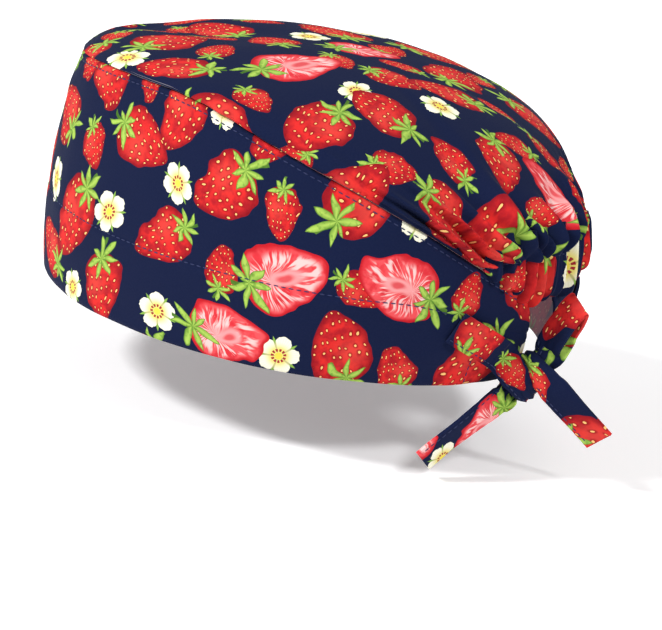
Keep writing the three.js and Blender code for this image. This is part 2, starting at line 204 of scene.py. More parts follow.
def crownDome(angle, climb):
    edge = crownEdge(angle)
    row = crownRow(angle)
    t = climb
    first = 3 * t * (1 - t) ** 2
    second = 3 * t * t * (1 - t)
    out = (1 - t) ** 3 + first * row["belly"] + second * row["shoulder"]
    up = first * row["bellyRise"] + second * row["shoulderRise"] + t**3
    point = crownCentre.lerp(edge, out)
    point.z = edge.z + (crownCentre.z - edge.z) * up
    infront = smooth((dome["middle"] - point.y) / dome["valleyLength"])
    hollow = dome["valley"] * bell(point.x / dome["valleyWidth"])
    point.z -= hollow * infront * smooth((climb - 0.04) / 0.3)
    return point


def waver(point, size, seed):
    return noise.noise(point / size + Vector((seed, 2.7 * seed, -seed)))


# cloth panels

def clothPanel(look, columns, rows, place, relief, cut, closed=False):
    bm = bmesh.new()
    across, up = len(columns) - 1, len(rows) - 1
    bmesh.ops.create_grid(bm, x_segments=across, y_segments=up, size=0.5)
    spots = {}
    for vertex in bm.verts:
        column = columns[round((vertex.co.x + 0.5) * across)]
        row = rows[round((vertex.co.y + 0.5) * up)]
        spots[vertex] = (nape if closed and column == -nape else column, row)
    cloth = bm.loops.layers.uv.new("cloth")
    for face in bm.faces:
        face.smooth = True
        for loop in face.loops:
            loop[cloth].uv = Vector(cut(*spots[loop.vert])) * mm
    for vertex, spot in spots.items():
        vertex.co = place(*spot)
    bm.normal_update()
    normals = {vertex: vertex.normal.copy() for vertex in bm.verts}
    if closed:
        for vertex, spot in spots.items():
            if spot[0] == nape or spot[1] == rows[-1]:
                normals[vertex] = look["normal"](*spot)
    for vertex, spot in spots.items():
        vertex.co += normals[vertex] * relief(*spot, vertex.co)
    bmesh.ops.scale(bm, vec=(mm, mm, mm), verts=bm.verts)
    if closed:
        bmesh.ops.remove_doubles(bm, verts=bm.verts, dist=4e-6)
        bmesh.ops.dissolve_degenerate(bm, edges=bm.edges, dist=1e-7)
    return bm


def placeCloth(bm, look, offset=-1.0):
    mesh = bpy.data.meshes.new(look["name"])
    bm.to_mesh(mesh)
    tree = BVHTree.FromBMesh(bm)
    bm.free()
    piece = bpy.data.objects.new(look["name"], mesh)
    bpy.context.scene.collection.objects.link(piece)
    mesh.materials.append(printedCotton)
    mesh.materials.append(reverseCotton)
    wall = piece.modifiers.new("wall", "SOLIDIFY")
    wall.thickness = look["thick"] * mm
    wall.offset = offset
    wall.material_offset = look["inside"]
    wall.use_even_offset = False
    hem = piece.modifiers.new("soft edge", "BEVEL")
    hem.width = look["thick"] * 0.38 * mm
    hem.segments = 3
    hem.limit_method = "ANGLE"
    hem.angle_limit = math.radians(62)
    hem.harden_normals = False
    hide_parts(*look["nodes"])
    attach(piece, "root")
    return piece, tree


# printed cotton

def plug(tree, socket, value):
    if isinstance(value, bpy.types.NodeSocket):
        tree.links.new(value, socket)
    else:
        socket.default_value = value


def calc(tree, operation, *values):
    node = tree.nodes.new("ShaderNodeMath")
    node.operation = operation
    for socket, value in zip(node.inputs, values):
        plug(tree, socket, value)
    return node.outputs[0]


def vecCalc(tree, operation, *values, output=0):
    node = tree.nodes.new("ShaderNodeVectorMath")
    node.operation = operation
    for socket, value in zip(node.inputs, values):
        plug(tree, socket, value)
    return node.outputs[output]


def joinXyz(tree, x, y, z=0.0):
    node = tree.nodes.new("ShaderNodeCombineXYZ")
    for socket, value in zip(node.inputs, (x, y, z)):
        plug(tree, socket, value)
    return node.outputs[0]


def splitXyz(tree, value):
    node = tree.nodes.new("ShaderNodeSeparateXYZ")
    plug(tree, node.inputs[0], value)
    return node.outputs


def mixColour(tree, factor, low, high):
    node = tree.nodes.new("ShaderNodeMix")
    node.data_type = "RGBA"
    plug(tree, node.inputs[0], factor)
    plug(tree, node.inputs[6], (*low, 1) if isinstance(low, tuple) else low)
    plug(tree, node.inputs[7], (*high, 1) if isinstance(high, tuple) else high)
    return node.outputs[2]


def ramp(tree, value, low, high, start=0.0, end=1.0):
    node = tree.nodes.new("ShaderNodeMapRange")
    node.interpolation_type = "SMOOTHSTEP"
    for socket, item in zip(node.inputs, (value, low, high, start, end)):
        plug(tree, socket, item)
    return node.outputs[0]


def grain(tree, place, scale, detail=2.0):
    node = tree.nodes.new("ShaderNodeTexNoise")
    plug(tree, node.inputs["Vector"], place)
    node.inputs["Scale"].default_value = scale
    node.inputs["Detail"].default_value = detail
    return node.outputs[0]


def newGroup(name, inputs, outputs):
    tree = bpy.data.node_groups.new(name, "ShaderNodeTree")
    kinds = {"vector": "NodeSocketVector", "value": "NodeSocketFloat", "colour": "NodeSocketColor"}
    for label, kind in inputs:
        tree.interface.new_socket(label, in_out="INPUT", socket_type=kinds[kind])
    for label, kind in outputs:
        tree.interface.new_socket(label, in_out="OUTPUT", socket_type=kinds[kind])
    return tree, tree.nodes.new("NodeGroupInput").outputs, tree.nodes.new("NodeGroupOutput").inputs


def useGroup(tree, group, values):
    node = tree.nodes.new("ShaderNodeGroup")
    node.node_tree = group
    for label, value in values.items():
        plug(tree, node.inputs[label], value)
    return node.outputs


# one motif per cell of a grid: its own place, turn and three chances
def makeCellGroup():
    tree, given, result = newGroup(
        "tossed cell",
        [("Place", "vector"), ("Pitch", "vector"), ("Shift", "vector"),
         ("Jitter", "value"), ("Seed", "value")],
        [("Local", "vector"), ("First", "value"), ("Second", "value"), ("Third", "value")])
    moved = vecCalc(tree, "ADD", given["Place"], given["Shift"])
    scaled = vecCalc(tree, "DIVIDE", moved, given["Pitch"])
    cell = splitXyz(tree, vecCalc(tree, "FLOOR", scaled))
    tag = joinXyz(tree, cell[0], cell[1], given["Seed"])
    chances = []
    for apart in (0.5, 17.5):
        white = tree.nodes.new("ShaderNodeTexWhiteNoise")
        plug(tree, white.inputs["Vector"], vecCalc(tree, "ADD", tag, (apart, apart, apart)))
        chances.append(splitXyz(tree, white.outputs["Color"]))
    middle = vecCalc(tree, "ADD", joinXyz(tree, cell[0], cell[1]), (0.5, 0.5, 0.0))
    local = vecCalc(tree, "SUBTRACT", moved, vecCalc(tree, "MULTIPLY", middle, given["Pitch"]))
    offset = []
    for chance in chances[0][:2]:
        offset.append(calc(tree, "MULTIPLY", calc(tree, "SUBTRACT", chance, 0.5), given["Jitter"]))
    local = splitXyz(tree, vecCalc(tree, "SUBTRACT", local, joinXyz(tree, *offset)))
    turn = calc(tree, "MULTIPLY", chances[0][2], 2 * math.pi)
    sine = calc(tree, "SINE", turn)
    cosine = calc(tree, "COSINE", turn)
    x = calc(tree, "ADD", calc(tree, "MULTIPLY", local[0], cosine), calc(tree, "MULTIPLY", local[1], sine))
    away = calc(tree, "MULTIPLY", local[0], sine)
    y = calc(tree, "SUBTRACT", calc(tree, "MULTIPLY", local[1], cosine), away)
    plug(tree, result["Local"], joinXyz(tree, x, y))
    for label, chance in zip(("First", "Second", "Third"), chances[1]):
        plug(tree, result[label], chance)
    return tree


def makeBerryGroup():
    tree, given, result = newGroup(
        "berry",
        [("Local", "vector"), ("Length", "value"), ("Chance", "value"), ("Halved", "value")],
        [("Colour", "colour"), ("Mask", "value")])
    half = calc(tree, "MULTIPLY", given["Length"], 0.5)
    drawn = vecCalc(tree, "DIVIDE", given["Local"], joinXyz(tree, half, half, 1.0))
    shift = calc(tree, "MULTIPLY", given["Chance"], 37.0)
    spot = vecCalc(tree, "ADD", drawn, joinXyz(tree, shift, shift, 0.0))
    wobble = calc(tree, "MULTIPLY", calc(tree, "SUBTRACT", grain(tree, spot, 1.7, 1.0), 0.5), 0.34)
    drawn = splitXyz(tree, drawn)
    x = calc(tree, "ADD", drawn[0], wobble)
    u = calc(tree, "ADD", calc(tree, "ADD", drawn[1], wobble), 0.27)
    girth = calc(tree, "MULTIPLY_ADD", u, 0.26, 0.70)
    side = calc(tree, "DIVIDE", x, girth)
    reach = calc(tree, "ADD", calc(tree, "MULTIPLY", side, side), calc(tree, "MULTIPLY", u, u))
    flesh = calc(tree, "LESS_THAN", reach, 1.0)
    mottle = grain(tree, spot, 3.2, 3.0)

    # whole berry: rounded by tone, with pale seeds in dark dimples
    red = mixColour(tree, ramp(tree, mottle, 0.38, 0.66), (0.62, 0.022, 0.02), (0.36, 0.01, 0.016))
    lit = joinXyz(tree, calc(tree, "ADD", x, 0.24), calc(tree, "SUBTRACT", u, 0.18))
    sheen = ramp(tree, vecCalc(tree, "LENGTH", lit, output=1), 0.0, 0.62, 0.62, 0.0)
    red = mixColour(tree, sheen, red, (0.66, 0.06, 0.045))
    red = mixColour(tree, ramp(tree, reach, 0.4, 1.02, 0.0, 0.85), red, (0.2, 0.004, 0.01))
    seeds = tree.nodes.new("ShaderNodeTexVoronoi")
    seeds.voronoi_dimensions = "2D"
    plug(tree, seeds.inputs["Vector"], joinXyz(
        tree, calc(tree, "MULTIPLY", side, 3.5), calc(tree, "MULTIPLY_ADD", u, 3.3, shift)))
    seeds.inputs["Scale"].default_value = 1.0
    seeds.inputs["Randomness"].default_value = 0.42
    near = seeds.outputs["Distance"]
    red = mixColour(tree, ramp(tree, near, 0.13, 0.36, 0.75, 0.0), red, (0.2, 0.004, 0.008))
    pip = calc(tree, "MULTIPLY", calc(tree, "LESS_THAN", near, 0.12), calc(tree, "LESS_THAN", reach, 0.93))
    red = mixColour(tree, pip, red, (0.84, 0.50, 0.17))

    # halved berry: pale streaks from a hollow heart to a red rim
    ray = calc(tree, "ARCTAN2", x, calc(tree, "SUBTRACT", 0.35, u))
    depth = calc(tree, "SQRT", reach)
    streak = grain(tree, joinXyz(
        tree, calc(tree, "MULTIPLY", ray, 4.2), calc(tree, "MULTIPLY", depth, 1.1), shift), 1.9, 2.5)
    pink = mixColour(tree, ramp(tree, mottle, 0.4, 0.6), (0.72, 0.075, 0.085), (0.6, 0.03, 0.04))
    ring = calc(tree, "MULTIPLY", ramp(tree, depth, 0.22, 0.4), ramp(tree, depth, 0.68, 0.9, 1.0, 0.0))
    pale = calc(tree, "MULTIPLY", ramp(tree, streak, 0.47, 0.6), ring)
    pink = mixColour(tree, pale, pink, (0.80, 0.50, 0.48))
    heart = joinXyz(tree, calc(tree, "MULTIPLY", x, 4.2), calc(tree, "MULTIPLY", u, 1.9))
    heart = vecCalc(tree, "LENGTH", heart, output=1)
    pink = mixColour(tree, ramp(tree, heart, 0.55, 1.0, 0.8, 0.0), pink, (0.78, 0.34, 0.34))
    pink = mixColour(tree, ramp(tree, heart, 0.2, 0.5, 0.85, 0.0), pink, (0.58, 0.04, 0.05))
    pink = mixColour(tree, ramp(tree, reach, 0.72, 0.96), pink, (0.44, 0.01, 0.016))
    fill = mixColour(tree, given["Halved"], red, pink)

    # pointed sepals and a short stem
    below = calc(tree, "SUBTRACT", u, 0.86)
    far = vecCalc(tree, "LENGTH", joinXyz(tree, x, below), output=1)
    count = 7.0
    part = calc(tree, "MULTIPLY_ADD", calc(tree, "ARCTAN2", x, below), count / (2 * math.pi), shift)
    tip = tree.nodes.new("ShaderNodeTexWhiteNoise")
    tip.noise_dimensions = "1D"
    plug(tree, tip.inputs["W"], calc(tree, "FLOOR", calc(tree, "ADD", part, 0.5)))
    lean = calc(tree, "MULTIPLY_ADD", tip.outputs["Value"], 0.5, 0.62)
    fromAxis = calc(tree, "SUBTRACT", calc(tree, "FRACT", calc(tree, "ADD", part, 0.5)), 0.5)
    fromAxis = calc(tree, "MULTIPLY", calc(tree, "ABSOLUTE", fromAxis), 2.0)
    point = calc(tree, "POWER", calc(tree, "SUBTRACT", 1.0, fromAxis), 0.9)
    sepal = calc(tree, "MULTIPLY_ADD", calc(tree, "MULTIPLY", point, lean), 0.48, 0.13)
    leaf = calc(tree, "LESS_THAN", far, sepal)
    bend = calc(tree, "MULTIPLY", calc(tree, "MULTIPLY", below, below), 0.35)
    stalk = calc(tree, "ABSOLUTE", calc(tree, "SUBTRACT", x, bend))
    above = calc(tree, "GREATER_THAN", below, 0.0)
    stalk = calc(tree, "MULTIPLY", calc(tree, "LESS_THAN", stalk, 0.045), above)
    stalk = calc(tree, "MULTIPLY", stalk, calc(tree, "LESS_THAN", below, 0.5))
    leaf = calc(tree, "MAXIMUM", leaf, stalk)
    vein = calc(tree, "MULTIPLY", calc(tree, "SUBTRACT", 1.0, fromAxis), 0.75)
    green = mixColour(tree, calc(tree, "ADD", vein, calc(tree, "MULTIPLY", mottle, 0.25)),
                      (0.045, 0.15, 0.012), (0.40, 0.58, 0.10))
    fleck = ramp(tree, grain(tree, spot, 9.0, 1.0), 0.5, 0.7, 0.0, 0.5)
    green = mixColour(tree, fleck, green, (0.07, 0.2, 0.02))
    outline = ramp(tree, calc(tree, "SUBTRACT", sepal, far), 0.0, 0.07, 0.8, 0.0)
    green = mixColour(tree, outline, green, (0.035, 0.11, 0.012))
    plug(tree, result["Colour"], mixColour(tree, leaf, fill, green))
    plug(tree, result["Mask"], calc(tree, "MAXIMUM", flesh, leaf))
    return tree


def makeFlowerGroup():
    tree, given, result = newGroup(
        "flower",
        [("Local", "vector"), ("Radius", "value")],
        [("Colour", "colour"), ("Mask", "value")])
    drawn = vecCalc(tree, "DIVIDE", given["Local"], joinXyz(tree, given["Radius"], given["Radius"], 1.0))
    part = splitXyz(tree, drawn)
    far = vecCalc(tree, "LENGTH", joinXyz(tree, part[0], part[1]), output=1)
    round5 = calc(tree, "ARCTAN2", part[0], part[1])
    lobe = calc(tree, "ABSOLUTE", calc(tree, "COSINE", calc(tree, "MULTIPLY", round5, 2.5)))
    edge = calc(tree, "MULTIPLY_ADD", calc(tree, "POWER", lobe, 0.5), 0.42, 0.56)
    uneven = calc(tree, "SUBTRACT", grain(tree, drawn, 3.5), 0.5)
    edge = calc(tree, "ADD", edge, calc(tree, "MULTIPLY", uneven, 0.25))
    petal = calc(tree, "LESS_THAN", far, edge)
    colour = mixColour(tree, ramp(tree, far, 0.3, 0.75), (0.72, 0.62, 0.15), (0.80, 0.79, 0.64))
    stripe = calc(tree, "SINE", calc(tree, "MULTIPLY", round5, 45.0))
    stripe = calc(tree, "MULTIPLY", ramp(tree, stripe, 0.3, 1.0), 0.25)
    colour = mixColour(tree, stripe, colour, (0.62, 0.58, 0.33))
    colour = mixColour(tree, ramp(tree, lobe, 0.1, 0.3, 0.85, 0.0), colour, (0.42, 0.40, 0.16))
    dots = calc(tree, "GREATER_THAN", calc(tree, "SINE", calc(tree, "MULTIPLY", round5, 11.0)), -0.35)
    ring = calc(tree, "COMPARE", far, 0.29, 0.07)
    colour = mixColour(tree, calc(tree, "MULTIPLY", ring, dots), colour, (0.30, 0.02, 0.03))
    colour = mixColour(tree, calc(tree, "LESS_THAN", far, 0.17), colour, (0.74, 0.60, 0.07))
    gap = calc(tree, "POWER", calc(tree, "SUBTRACT", 1.0, lobe), 2.0)
    tipEdge = calc(tree, "MULTIPLY_ADD", gap, 0.62, 0.4)
    tips = calc(tree, "LESS_THAN", far, tipEdge)
    plug(tree, result["Colour"], mixColour(tree, petal, (0.20, 0.36, 0.06), colour))
    plug(tree, result["Mask"], calc(tree, "MAXIMUM", petal, tips))
    return tree


printLayers = [
    {"seed": 3.0, "shift": (23.0, 4.0), "jitter": 7.0, "size": 15.0, "vary": 4.0, "small": True},
    {"seed": 8.0, "shift": (2.0, 27.0), "jitter": 7.0, "size": 15.0, "vary": 4.0, "small": True},
    {"seed": 5.0, "shift": (25.0, 28.0), "jitter": 6.0, "size": 24.0, "vary": 7.0, "small": False},
    {"seed": 1.0, "shift": (0.0, 0.0), "jitter": 5.0, "size": 26.5, "vary": 6.0, "small": False},
]
printPitch = (46.0, 50.0)
printDrift = {"scale": 0.013, "reach": 20.0}
chanceOf = {"halved": 0.27, "flower": 0.36}
flowerRadius = 7.4
navy = (0.0045, 0.0089, 0.037)


def makePrintGroup():
    cell, berry, flower = makeCellGroup(), makeBerryGroup(), makeFlowerGroup()
    tree, given, result = newGroup("strawberry print", [("Place", "vector")], [("Colour", "colour")])
    drift = tree.nodes.new("ShaderNodeTexNoise")
    plug(tree, drift.inputs["Vector"], given["Place"])
    drift.inputs["Scale"].default_value = printDrift["scale"]
    drift.inputs["Detail"].default_value = 0.0
    away = vecCalc(tree, "SCALE", vecCalc(tree, "SUBTRACT", drift.outputs["Color"], (0.5, 0.5, 0.5)))
    away.node.inputs["Scale"].default_value = printDrift["reach"]
    place = vecCalc(tree, "ADD", given["Place"], away)
    colour = mixColour(tree, 0.0, navy, navy)
    for layer in printLayers:
        spot = useGroup(tree, cell, {
            "Place": place, "Pitch": (*printPitch, 1.0), "Shift": (*layer["shift"], 0.0),
            "Jitter": layer["jitter"], "Seed": layer["seed"]})
        length = calc(tree, "MULTIPLY_ADD", spot["First"], layer["vary"], layer["size"])
        halved = calc(tree, "LESS_THAN", spot["Second"], 0.0 if layer["small"] else chanceOf["halved"])
        drawn = useGroup(tree, berry, {"Local": spot["Local"], "Length": length,
                                       "Chance": spot["Third"], "Halved": halved})
        mask, fill = drawn["Mask"], drawn["Colour"]
        if layer["small"]:
            bloom = useGroup(tree, flower, {"Local": spot["Local"], "Radius": flowerRadius})
            choice = calc(tree, "LESS_THAN", spot["Second"], chanceOf["flower"])
            fill = mixColour(tree, choice, fill, bloom["Colour"])
            mask = calc(tree, "ADD", calc(tree, "MULTIPLY", choice, bloom["Mask"]),
                        calc(tree, "MULTIPLY", calc(tree, "SUBTRACT", 1.0, choice), mask))
        colour = mixColour(tree, mask, colour, fill)
    plug(tree, result["Colour"], colour)
    return tree


threadPitch = 0.46


def makeWeaveGroup():
    outputs = [("Height", "value"), ("Tone", "value")]
    tree, given, result = newGroup("plain weave", [("Place", "vector")], outputs)
    part = splitXyz(tree, given["Place"])
    turns = 2 * math.pi / threadPitch
    warp = calc(tree, "SINE", calc(tree, "MULTIPLY", part[0], turns))
    weft = calc(tree, "SINE", calc(tree, "MULTIPLY", part[1], turns))
    fibre = grain(tree, given["Place"], 1.4, 3.0)
    crumple = grain(tree, given["Place"], 0.11, 2.0)
    crossing = calc(tree, "MULTIPLY", warp, weft)
    threads = calc(tree, "MULTIPLY", crossing, 0.055)
    height = calc(tree, "ADD", threads, calc(tree, "MULTIPLY", fibre, 0.10))
    plug(tree, result["Height"], calc(tree, "ADD", height, calc(tree, "MULTIPLY", crumple, 0.9)))
    plug(tree, result["Tone"], ramp(tree, calc(tree, "MULTIPLY_ADD", crossing, 0.12, fibre), 0.3, 0.75))
    return tree


def makeCotton(name, fade):
    material = bpy.data.materials.new(name)
    material.use_nodes = True
    tree = material.node_tree
    shader = tree.nodes["Principled BSDF"]
    uvMap = tree.nodes.new("ShaderNodeUVMap")
    uvMap.uv_map = "cloth"
    place = vecCalc(tree, "SCALE", uvMap.outputs[0])
    place.node.inputs["Scale"].default_value = 1000.0
    motif = useGroup(tree, printGroup, {"Place": place})
    weave = useGroup(tree, weaveGroup, {"Place": place})
    colour = mixColour(tree, fade, motif["Colour"], (0.30, 0.28, 0.33))
    worn = mixColour(tree, calc(tree, "MULTIPLY", weave["Tone"], 0.01), colour, (0.22, 0.23, 0.3))
    plug(tree, shader.inputs["Base Color"], worn)
    bump = tree.nodes.new("ShaderNodeBump")
    bump.inputs["Strength"].default_value = 0.25
    bump.inputs["Distance"].default_value = 0.0006
    plug(tree, bump.inputs["Height"], weave["Height"])
    plug(tree, shader.inputs["Normal"], bump.outputs[0])
    shader.inputs["Roughness"].default_value = 0.86
    shader.inputs["Specular IOR Level"].default_value = 0.06
    shader.inputs["Sheen Weight"].default_value = 0.025
    shader.inputs["Sheen Roughness"].default_value = 0.45
    return material


def makePlain(name, colour, roughness):
    material = bpy.data.materials.new(name)
    material.use_nodes = True
    shader = material.node_tree.nodes["Principled BSDF"]
    shader.inputs["Base Color"].default_value = (*colour, 1)
    shader.inputs["Roughness"].default_value = roughness
    shader.inputs["Specular IOR Level"].default_value = 0.25
    return material


printGroup = makePrintGroup()
weaveGroup = makeWeaveGroup()
printedCotton = makeCotton("printed cotton", 0.0)
reverseCotton = makeCotton("printed cotton, reverse", 0.62)
thread = makePlain("navy thread", (0.018, 0.026, 0.085), 0.6)
print("materials made")


# side band

sideBandLook = {"name": "side_band_cloth", "nodes": ["side_band"], "thick": 1.0, "inside": 1,
                "hemPucker": 0.17, "seamPucker": 0.36, "drag": 0.8, "hemGroove": 0.32, "seamGroove": 0.3,
                "tuck": 0.9, "lap": 0.22, "roll": 0.5}

# where the band lies on the printed cloth
bandPrint = (7.0, 12.0)


def hemLine(angle):
    return hemHeight - 13 * smooth((abs(angle) - 138) / 40)


def bandStation(angle, station):
    top = bandTop(angle)
    marks = [0.0, hemLine(angle), top - seamZone, top]
    k = min(int(station), 2)
    return marks[k] + (marks[k + 1] - marks[k]) * (station - k)


def bandPlace(angle, station):
    return bandPoint(angle, bandStation(angle, station) / bandTop(angle))


def bandRelief(angle, station, point):
    height = bandStation(angle, station)
    top = bandTop(angle)
    arc = roundArc(angle)
    fromHem = height - hemLine(angle)
    fromTop = top - height
    broad = 0.75 * waver(point, 34, 3.1) + 0.28 * waver(point, 13, 9.4)
    stretched = Vector((arc / 5.2, height / 16, 1.7))
    hemPucker = sideBandLook["hemPucker"] * noise.noise(stretched) * bell(fromHem / 6)
    gathered = Vector((arc / 4.4, height / 14, 8.1))
    seamPucker = sideBandLook["seamPucker"] * noise.noise(gathered) * bell(fromTop / 7)
    rearPull = smooth((abs(angle) - 142) / 30)
    dragged = Vector((arc / 16, (height + arc * 0.35) / 6.5, 4.4))
    drag = sideBandLook["drag"] * rearPull * noise.noise(dragged)
    hemGroove = -sideBandLook["hemGroove"] * bell(fromHem / 0.9)
    grooves = hemGroove - sideBandLook["seamGroove"] * bell((fromTop - topstitch) / 0.8)
    tuck = -sideBandLook["tuck"] * smooth(1 - fromTop / 1.0)
    lap = sideBandLook["lap"] * smooth(-fromHem / 1.2)
    roll = -sideBandLook["roll"] * smooth(1 - height / 0.8)
    return broad + hemPucker + seamPucker + drag + grooves + tuck + lap + roll


def bandCut(angle, station):
    return roundArc(angle) + bandPrint[0], bandStation(angle, station) + bandPrint[1]


bandEnd = nape - openingHalf
bandStations = spread(24) + spread(38, 1, 2)[1:] + spread(11, 2, 3)[1:]
bandColumns = spread(400, -bandEnd, bandEnd)
bandGrid = clothPanel(sideBandLook, bandColumns, bandStations, bandPlace, bandRelief, bandCut)
sideBand, bandTree = placeCloth(bandGrid, sideBandLook)
print("side band laid")


# crown

# ridges of the gathered crown, by degrees past the nape and share of the way to the middle
crownFolds = table("a0 c0 a1 c1 a2 c2 width height steep", [
    (-22, 0.0, -40, 0.045, -60, 0.075, 2.6, 1.7, 1),
    (-20, 0.0, -37, 0.085, -60, 0.16, 3.2, 3.5, 1),
    (-17, 0.0, -29, 0.145, -50, 0.29, 3.1, 3.4, 1),
    (-15, 0.0, -23, 0.2, -36, 0.38, 3.3, 3.8, -1),
    (-10.5, 0.0, -15.5, 0.17, -20, 0.5, 3.7, 4.6, -1),
    (-6, 0.0, -8, 0.13, -12.5, 0.27, 2.7, 3.3, -1),
    (-2, 0.0, -2.5, 0.13, -4.5, 0.34, 3.1, 4.0, -1),
    (2.5, 0.0, 5.0, 0.17, 9, 0.35, 3.3, 4.2, 1),
    (7, 0.0, 12, 0.15, 18, 0.42, 3.5, 4.4, 1),
    (11.5, 0.0, 18, 0.14, 26, 0.28, 3.0, 3.6, 1),
    (15.5, 0.0, 24, 0.11, 34, 0.2, 2.9, 3.3, -1),
    (19, 0.0, 32, 0.08, 45, 0.15, 3.0, 3.2, -1),
    (21.5, 0.0, 38, 0.05, 56, 0.08, 2.6, 1.8, -1)])

gather = {"lift": 1.7, "spread": 3.1, "pleat": 3.0, "pleatPitch": 3.7, "wrinkle": 1.3, "pucker": 0.5}


def pastNape(angle):
    return angle + nape if angle < 0 else angle - nape


def crownFlat(behind, climb):
    return Vector((math.radians(behind) * rim["width"] / 2 * (1 - climb), climb * crownArc))


foldLines = [
    {"foot": crownFlat(row["a0"], row["c0"]), "knee": crownFlat(row["a1"], row["c1"]),
     "head": crownFlat(row["a2"], row["c2"]), "width": row["width"],
     "height": row["height"], "steep": row["steep"]}
    for row in crownFolds]


def foldHeight(place):
    highest = 0.0
    lowest = 0.0
    for fold in foldLines:
        firstLength = (fold["knee"] - fold["foot"]).length
        share = firstLength / (firstLength + (fold["head"] - fold["knee"]).length)
        lower = besideLine(place, fold["foot"], fold["knee"])
        upper = besideLine(place, fold["knee"], fold["head"])
        near = abs(lower[1]) + lower[2] * 2 < abs(upper[1]) + upper[2] * 2
        along, aside, past = lower if near else upper
        along = along * share if near else share + along * (1 - share)
        width = fold["width"] * (0.42 + 0.95 * along)
        rising = smooth(0.45 + 2.2 * along) * smooth(1.25 * (1 - along))
        lift = gather["lift"] * fold["height"] * rising * bell(past / width)
        away = aside * fold["steep"]
        slope = width * (0.5 if away > 0 else 1.3)
        highest = max(highest, lift * bell(away / slope))
        lowest = max(lowest, lift * bell((away - 1.2 * width) / (0.6 * width)))
    return highest - 0.5 * lowest


def pleat(behind, climb):
    arc = behind * 1.38
    phase = arc / gather["pleatPitch"] + 0.5 * math.sin(arc / 6.1 + 1.3) + 0.35 * math.sin(arc / 11.3)
    index = round(phase)
    reach = 0.17 + 0.08 * noise.cell(Vector((index + 0.5, 3.5, 0.5)))
    tall = 0.8 + 0.4 * noise.cell(Vector((index + 0.5, 9.5, 0.5)))
    ridge = math.cos(math.pi * (phase - index)) ** 2
    side = smooth((casingHalf + 1 - abs(behind)) / 6)
    return tall * ridge**0.45 * side * (1 - smooth(climb / reach))


def crownRelief(angle, climb, point):
    behind = pastNape(angle)
    place = crownFlat(behind, climb)
    gathered = smooth((casingHalf * gather["spread"] - abs(behind)) / 28)
    atSeam = raised(angle) + (1 - raised(angle)) * smooth(climb / 0.05)
    folds = gathered * foldHeight(place) if gathered > 0 else 0.0
    sunk = 0.5 * raised(angle) * (1 - smooth(climb / 0.12))
    pleats = gather["pleat"] * (pleat(behind, climb) - sunk)
    calm = 1 - 0.55 * smooth((behind - 3) / 9) * bell(climb / 0.3)
    crease = 1 - 2.4 * abs(noise.noise(Vector((place.x / 9, place.y / 26, 6.6))))
    wrinkle = gather["wrinkle"] * crease * gathered * smooth((0.42 - climb) / 0.3)
    broad = 0.7 * waver(point, 36, 5.2) + 0.3 * waver(point, 15, 1.9)
    seam = climb * crownArc
    puckered = Vector((point.x / 4.8, point.y / 4.8, seam / 13))
    pucker = gather["pucker"] * noise.noise(puckered) * bell(seam / 8)
    deep = 0.3 + 0.7 * smooth((abs(angle) - 60) / 45)
    tuck = -deep * smooth(1 - seam / 1.4) * (1 - 0.6 * raised(angle))
    return (folds + pleats + wrinkle) * calm * atSeam + broad * smooth(climb / 0.04) + pucker + tuck


# where the crown lies on the printed cloth
crownPrint = (260, 330)


@lru_cache(maxsize=None)
def crownStretch(angle):
    marks = [crownDome(angle, k / 40) for k in range(41)]
    steps = [(b - a).length for a, b in zip(marks, marks[1:])]
    return [sum(steps[k:]) for k in range(41)]


def crownCut(angle, climb):
    lengths = crownStretch(angle)
    place = max(climb, 0) * 40
    k = min(int(place), 39)
    length = lengths[k] + (lengths[k + 1] - lengths[k]) * (place - k) - min(climb, 0) * crownArc
    a = math.radians(angle)
    return length * math.sin(a) + crownPrint[0], length * math.cos(a) + crownPrint[1]


def crownNormal(angle, climb):
    if climb > 0.99:
        return Vector((0, 0, 1))
    low = min(climb, 0.98)
    aside = crownDome(angle + 0.5, low) - crownDome(angle - 0.5, low)
    rising = crownDome(angle, low + 0.01) - crownDome(angle, low)
    return aside.cross(rising).normalized()


crownLook = {"name": "crown_cloth", "nodes": ["crown"], "thick": 0.55, "inside": 1, "normal": crownNormal}
halfCircle = spread(56, 0, 106) + spread(50, 106, 150)[1:] + spread(78, 150, 180)[1:]
crownColumns = [-a for a in reversed(halfCircle[1:])] + halfCircle
crownClimbs = [s**1.3 for s in spread(92)]
crownGrid = clothPanel(crownLook, crownColumns, crownClimbs, crownDome, crownRelief, crownCut, closed=True)
crown = placeCloth(crownGrid, crownLook)[0]
print("crown gathered")


# elastic casing

casingLook = {"name": "elastic_casing_cloth", "nodes": ["elastic_casing"], "thick": 0.7, "inside": 1,
              "farPuff": 0.9, "pleat": 3.3, "crush": 0.5, "stitched": 0.9}


def unwound(behind):
    return behind - nape if behind > 0 else behind + nape


def casingPlace(behind, share):
    angle = unwound(behind)
    low = bandPoint(angle, 1)
    low.z += casing["arch"] * smooth(1.5 * (1 - abs(behind) / openingHalf))
    low.z -= 0.6 * smooth((abs(behind) - openingHalf) / 2)
    high = crownEdge(angle)
    high.z += 0.3
    puff = casing["bulge"] * math.sin(math.pi * math.sqrt(share)) * (0.4 + 0.6 * raised(angle))
    puff += casingLook["farPuff"] * smooth(behind / 12) * (1 - share**3)
    return low.lerp(high, share) + outward(angle) * (puff - 0.5)


